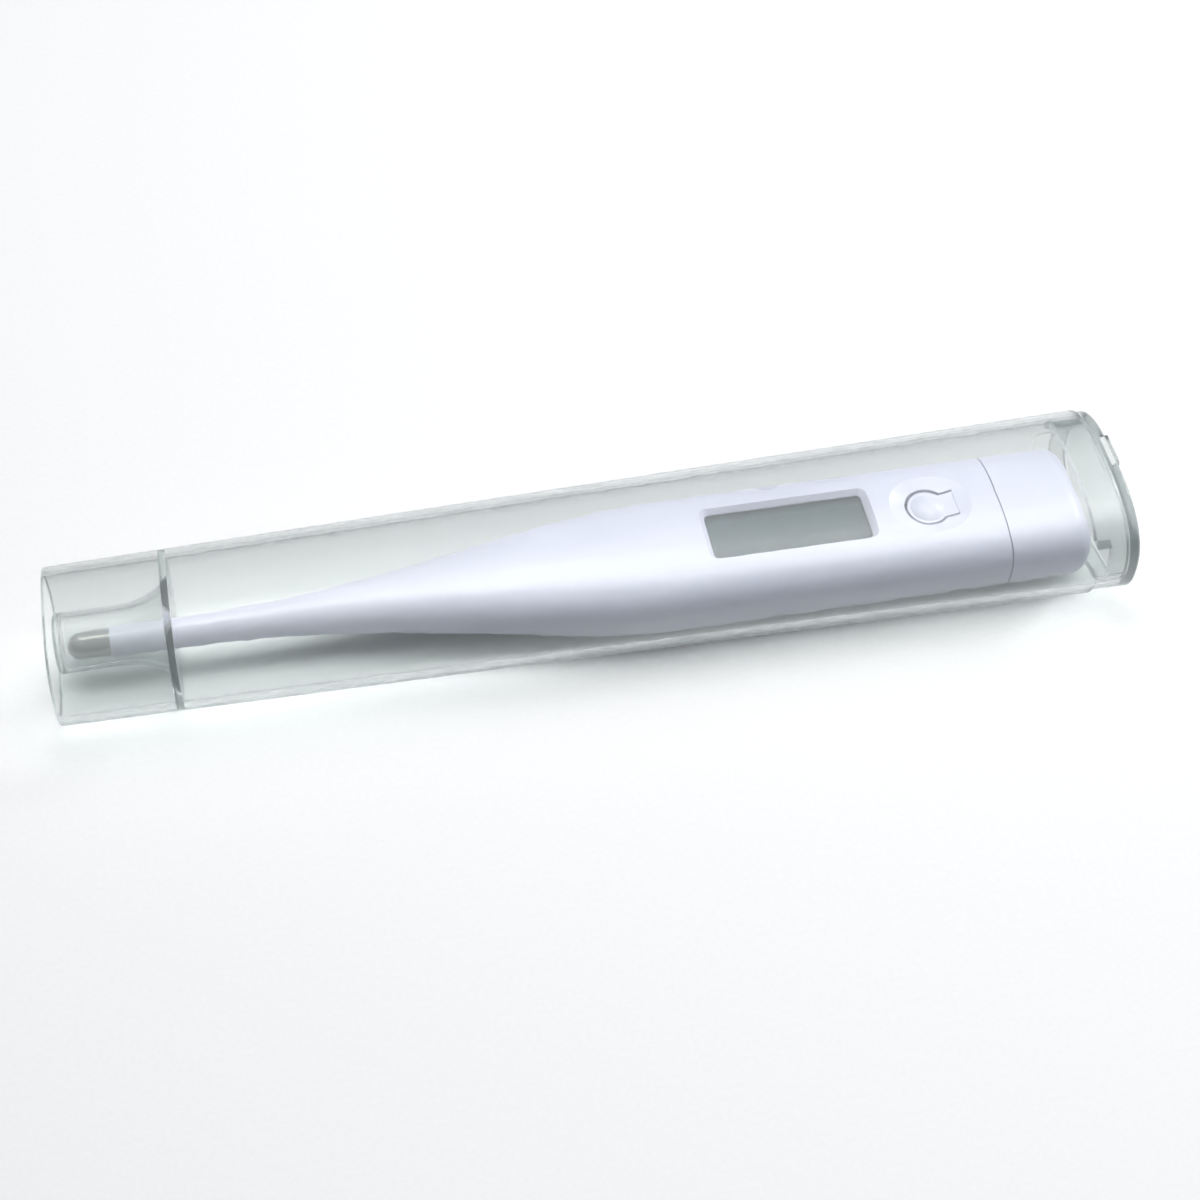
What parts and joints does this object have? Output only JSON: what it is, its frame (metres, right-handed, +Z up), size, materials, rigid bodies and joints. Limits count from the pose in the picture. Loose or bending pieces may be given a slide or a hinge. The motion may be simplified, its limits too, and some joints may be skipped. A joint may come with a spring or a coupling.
{
  "type": "digital clinical thermometer in case",
  "caption": "Slim digital clinical thermometer with metal probe tip, display window and push button, lying in a translucent storage case with an end cap.",
  "frame": {"origin": "on the resting plane, under the middle of the whole object", "axes": "+X along the case towards its end cap, +Z up, +Y away from a viewer who has the cap on the right"},
  "size_m": [0.1342, 0.0257, 0.0156],
  "materials": {
    "frosted_polypropylene": "moulded translucent polypropylene, satin",
    "white_abs": "moulded glossy white ABS",
    "nickel_plated_tip": "drawn, nickel-plated",
    "thermistor_glass": "glass-sealed bead",
    "potting_epoxy": "cured epoxy",
    "enamelled_wire": "enamelled copper",
    "clear_acrylic": "polished clear acrylic",
    "polariser_film": "polarising film",
    "display_glass": "thin float glass",
    "grey_reflector": "grey-green reflecting film",
    "silicone_rubber": "layered silicone",
    "black_abs": "moulded black ABS",
    "green_board": "glass-epoxy board with solder mask",
    "black_glob_top": "black resin",
    "chip_ceramic": "fired chip ceramic",
    "spring_steel": "tinned spring steel",
    "brass_sheet": "rolled brass",
    "piezo_ceramic": "fired ceramic with silvered face",
    "cell_steel": "nickel-plated steel"
  },
  "bodies": {
    "case": {"case_body": "frosted_polypropylene"},
    "thermometer": {"housing": "white_abs", "probe_tip": "nickel_plated_tip", "thermistor": "thermistor_glass", "thermal_epoxy": "potting_epoxy", "sensor_wire_left": "enamelled_wire", "sensor_wire_right": "enamelled_wire", "window_lens": "clear_acrylic", "front_polariser": "polariser_film", "lcd_front_glass": "display_glass", "lcd_rear_glass": "display_glass", "rear_reflector": "grey_reflector", "zebra_strip": "silicone_rubber", "lcd_frame": "black_abs", "circuit_board": "green_board", "chip_glob": "black_glob_top", "chip_resistors": "chip_ceramic", "chip_capacitors": "chip_ceramic", "switch_dome": "spring_steel", "sounder_disc": "brass_sheet", "sounder_ceramic": "piezo_ceramic", "sounder_leads": "enamelled_wire", "battery_holder": "black_abs", "positive_contact": "spring_steel", "negative_contact": "spring_steel", "cell_can": "cell_steel", "cell_cap": "cell_steel", "cell_gasket": "black_glob_top"},
    "battery_cover": {"battery_cover": "white_abs"},
    "case_cap": {"case_cap": "frosted_polypropylene"},
    "power_button": {"power_button": "white_abs"}
  },
  "joints": [
    {"name": "thermometer_slide", "type": "slide", "parent": "case", "child": "thermometer", "axis": [1, 0, 0], "range_m": [0, 0.135]},
    {"name": "cover_slide", "type": "slide", "parent": "thermometer", "child": "battery_cover", "axis": [1, 0, 0], "range_m": [0, 0.012]},
    {"name": "cap_slide", "type": "slide", "parent": "battery_cover", "child": "case_cap", "axis": [1, 0, 0], "range_m": [0, 0.02]},
    {"name": "button_press", "type": "hinge", "parent": "thermometer", "child": "power_button", "pos_m": [0.046, 0, 0.00965], "axis": [0, -1, 0], "range_deg": [0, 3.6], "stiffness_Nm_per_rad": 0.06, "deforming": ["switch_dome"]}
  ]
}
